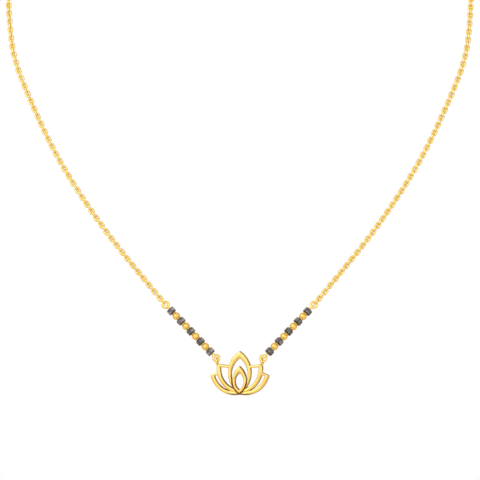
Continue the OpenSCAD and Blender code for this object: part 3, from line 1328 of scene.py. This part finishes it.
class MANGALSUTRA_OT_lotus(Operator):
    """Builds the open lotus petal by petal, with its two rings"""

    bl_idname = "mangalsutra.lotus"
    bl_label = "Lotus"

    def execute(self, context):
        lotus = settings().lotus
        tall = open_petal("petal_tall", TALL, TALL_OPENING, lotus.tall_front)
        small = open_petal("petal_small", SMALL, SMALL_OPENING, lotus.small_front)
        middle_right = side_petal("middle", MID_ARC, MID_BAR, lotus.mid_front)
        outer_right = side_petal("outer", OUTER_ARC, OUTER_BAR, lotus.outer_front)
        cut_groove([tall, middle_right, outer_right])
        pieces = [middle_right, outer_right, pendant_ring()]
        pieces += [left_twin(p, p.name.replace("right", "left")) for p in pieces]
        pieces += [tall, small]
        for piece in pieces:
            bake_place(piece, lotus_place())
            finish = "drawn_gold" if "ring" in piece.name else "lotus_gold"
            hand_in(piece, finish, "pendant", "gold", "lotus_pendant")
        return {"FINISHED"}


# The clasp

# Case and bolt of the spring ring: start and sweep in degrees from X towards -Z, and steps
CASE, BOLT = (210, 290, 56), (130, 100, 24)
# The thumb tab: its place in degrees from X towards Z, and its bevel as a share of its thickness
TAB_ANGLE, TAB_BEVEL = 60, 0.2


def bent_tube(radius, tube, start, sweep, steps):
    """A round tube bent from a start angle through a sweep, in degrees from X towards -Z."""
    piece = disc(tube / 2, 16, (radius, 0, 0))
    spin(piece, -sweep, steps)
    return bake_place(piece, Matrix.Rotation(math.radians(start), 4, "Y"))


def thumb_tab():
    """The tab that pulls the bolt back."""
    clasp = settings().clasp
    clear_selection()
    bpy.ops.mesh.primitive_cylinder_add(
        vertices=24, radius=clasp.tab / 2, depth=clasp.tab_reach,
        location=(clasp.radius + clasp.tab_reach / 2, 0, 0), rotation=(0, math.pi / 2, 0),
    )
    tab = bake_place(bpy.context.object, Matrix.Rotation(-math.radians(TAB_ANGLE), 4, "Y"))
    modify(tab, "BEVEL", width=clasp.tab * TAB_BEVEL, segments=3)
    return tab


class MANGALSUTRA_OT_clasp(Operator):
    """Makes the spring ring at the nape and the closed ring beside it"""

    bl_idname = "mangalsutra.clasp"
    bl_label = "Clasp"

    def execute(self, context):
        clasp = settings().clasp
        case = bent_tube(clasp.radius, clasp.tube, *CASE)
        bolt = bent_tube(clasp.radius, clasp.bolt, *BOLT)
        eye_place = (clasp.reach - clasp.eye, 0, 0)
        eye = wire_ring(clasp.eye, clasp.wire, eye_place, (math.pi / 2, 0, 0))
        piece = join("spring_ring", [case, bolt, eye, thumb_tab()])
        smooth(piece, degrees=40)
        hand_in(piece, "cast_gold", "necklace", "gold", "clasp")
        closed = wire_ring(clasp.closed, clasp.wire, (clasp.closed - clasp.reach, 0, 0))
        closed.name = "closed_ring"
        smooth(closed, degrees=60)
        hand_in(closed, "drawn_gold", "necklace", "gold", "clasp_ring")
        return {"FINISHED"}


# The stage

# Shades of the room from behind, at 0, to the bright front, at 1
ROOM = [
    (0.0, (0.9, 0.8, 0.62)),
    (0.35, (0.82, 0.63, 0.32)),
    (0.5, (0.74, 0.57, 0.28)),
    (0.65, (0.88, 0.78, 0.52)),
    (0.8, (1.08, 1.06, 0.96)),
    (0.92, (1.2, 1.19, 1.16)),
    (1.0, (1.24, 1.24, 1.24)),
]
FRONT = Vector((-0.3, -0.9, 0.15)).normalized()
# Two brown screens behind on the right: their colour, the first X, last X and softness of each,
# the same of their common Z, and the range of Y in which they set in
SCREEN = (0.3, 0.16, 0.04)
SCREENS = [(-0.02, 0.27, 0.03), (0.42, 0.7, 0.03)]
SCREEN_HEIGHTS = (-0.06, 0.3, 0.04)
SCREEN_BEHIND = (0, 0.2)
# Soft lights: place, width and power
LIGHTS = {
    "key_light": ((-0.55, -0.85, 0.35), 0.5, 1.1),
    "fill_light": ((0.8, -0.7, -0.1), 0.5, 0.7),
}
FLOOR_ROUGHNESS = 0.7


def studio_world():
    """A soft warm room, brightest in front on the left, and plain white to the camera."""
    world = bpy.data.worlds.new("studio")
    bpy.context.scene.world = world
    world.use_nodes = True
    tree = world.node_tree
    tree.nodes.clear()
    way = tree.nodes.new("ShaderNodeTexCoord").outputs["Generated"]
    split = tree.nodes.new("ShaderNodeSeparateXYZ")
    tree.links.new(way, split.inputs["Vector"])
    tones = ramp(tree, mapped(tree, along(tree, way, FRONT), -1, 1), ROOM)
    across = [between(tree, split.outputs["X"], *ends) for ends in SCREENS]
    behind = mapped(tree, split.outputs["Y"], *SCREEN_BEHIND)
    level = between(tree, split.outputs["Z"], *SCREEN_HEIGHTS)
    screen = both(tree, counted(tree, "ADD", *across), both(tree, behind, level))
    room = tree.nodes.new("ShaderNodeBackground")
    tone = blended(tree, screen, tones, plain_colour(tree, SCREEN))
    tree.links.new(tone, room.inputs["Color"])
    white = tree.nodes.new("ShaderNodeBackground")
    white.inputs["Color"].default_value = (1, 1, 1, 1)
    seen = tree.nodes.new("ShaderNodeLightPath")
    choice = tree.nodes.new("ShaderNodeMixShader")
    tree.links.new(seen.outputs["Is Camera Ray"], choice.inputs["Fac"])
    tree.links.new(room.outputs["Background"], choice.inputs[1])
    tree.links.new(white.outputs["Background"], choice.inputs[2])
    output = tree.nodes.new("ShaderNodeOutputWorld")
    tree.links.new(choice.outputs["Shader"], output.inputs["Surface"])


def soft_light(name, place, size, power):
    """A square soft light that looks at the pendant."""
    data = bpy.data.lights.new(name, "AREA")
    data.size = size
    data.energy = power
    light = bpy.data.objects.new(name, data)
    aim = Vector(settings().lotus.base) - Vector(place)
    light.location = place
    light.rotation_euler = aim.to_track_quat("-Z", "Y").to_euler()
    bpy.context.scene.collection.objects.link(light)


def front_camera():
    """The camera in front of the pendant, level and square to the necklace."""
    stage = settings().stage
    data = bpy.data.cameras.new("camera")
    data.lens = data.sensor_width * stage.distance / stage.frame_width
    camera = bpy.data.objects.new("camera", data)
    camera.location = (
        stage.camera_x, settings().lotus.base[1] - stage.distance, stage.camera_height
    )
    camera.rotation_euler = (math.pi / 2, 0, 0)
    bpy.context.scene.collection.objects.link(camera)
    bpy.context.scene.camera = camera


class MANGALSUTRA_OT_stage(Operator):
    """Sets the floor, the room, the soft lights and the camera"""

    bl_idname = "mangalsutra.stage"
    bl_label = "Stage"

    def execute(self, context):
        stage = settings().stage
        floor = disc(stage.floor_radius, 96, (0, 0, stage.floor_height))
        floor.name = "floor"
        shader = new_material("pale_floor")[1]
        shader.inputs["Base Color"].default_value = (*stage.floor_colour, 1)
        shader.inputs["Roughness"].default_value = FLOOR_ROUGHNESS
        floor.data.materials.append(bpy.data.materials["pale_floor"])
        studio_world()
        for name, (place, size, power) in LIGHTS.items():
            soft_light(name, place, size, power)
        context.scene.view_settings.view_transform = "Standard"
        front_camera()
        return {"FINISHED"}


class MANGALSUTRA_PT_panel(Panel):
    """The necklace's operators and settings"""

    bl_idname = "MANGALSUTRA_PT_panel"
    bl_label = "Mangalsutra"
    bl_space_type = "VIEW_3D"
    bl_region_type = "UI"
    bl_category = "Mangalsutra"

    def draw(self, context):
        for name in STEPS:
            self.layout.operator(f"mangalsutra.{name}")
        for group in ("chain", "wires", "beads", "lotus", "clasp", "finish", "stage"):
            box = self.layout.box()
            sizes = getattr(settings(), group)
            for key in sizes.__annotations__:
                box.prop(sizes, key)


STEPS = ["stage", "finishes", "chains", "bead_wires", "black_beads", "gold_beads", "lotus", "clasp"]
CLASSES = [
    ChainSizes,
    WireSizes,
    BeadSizes,
    LotusSizes,
    ClaspSizes,
    Finishes,
    StageSizes,
    MangalsutraSettings,
    MANGALSUTRA_OT_finishes,
    MANGALSUTRA_OT_chains,
    MANGALSUTRA_OT_bead_wires,
    MANGALSUTRA_OT_black_beads,
    MANGALSUTRA_OT_gold_beads,
    MANGALSUTRA_OT_lotus,
    MANGALSUTRA_OT_clasp,
    MANGALSUTRA_OT_stage,
    MANGALSUTRA_PT_panel,
]


def register():
    """Registers the classes and puts the settings on the scene."""
    for cls in CLASSES:
        bpy.utils.register_class(cls)
    bpy.types.Scene.mangalsutra = PointerProperty(type=MangalsutraSettings)


def unregister():
    """Takes the settings off the scene and unregisters the classes."""
    del bpy.types.Scene.mangalsutra
    for cls in reversed(CLASSES):
        bpy.utils.unregister_class(cls)


def main():
    """Builds the whole necklace."""
    register()
    for name in STEPS:
        getattr(bpy.ops.mangalsutra, name)()
    clear_selection()


if __name__ == "__main__":
    main()
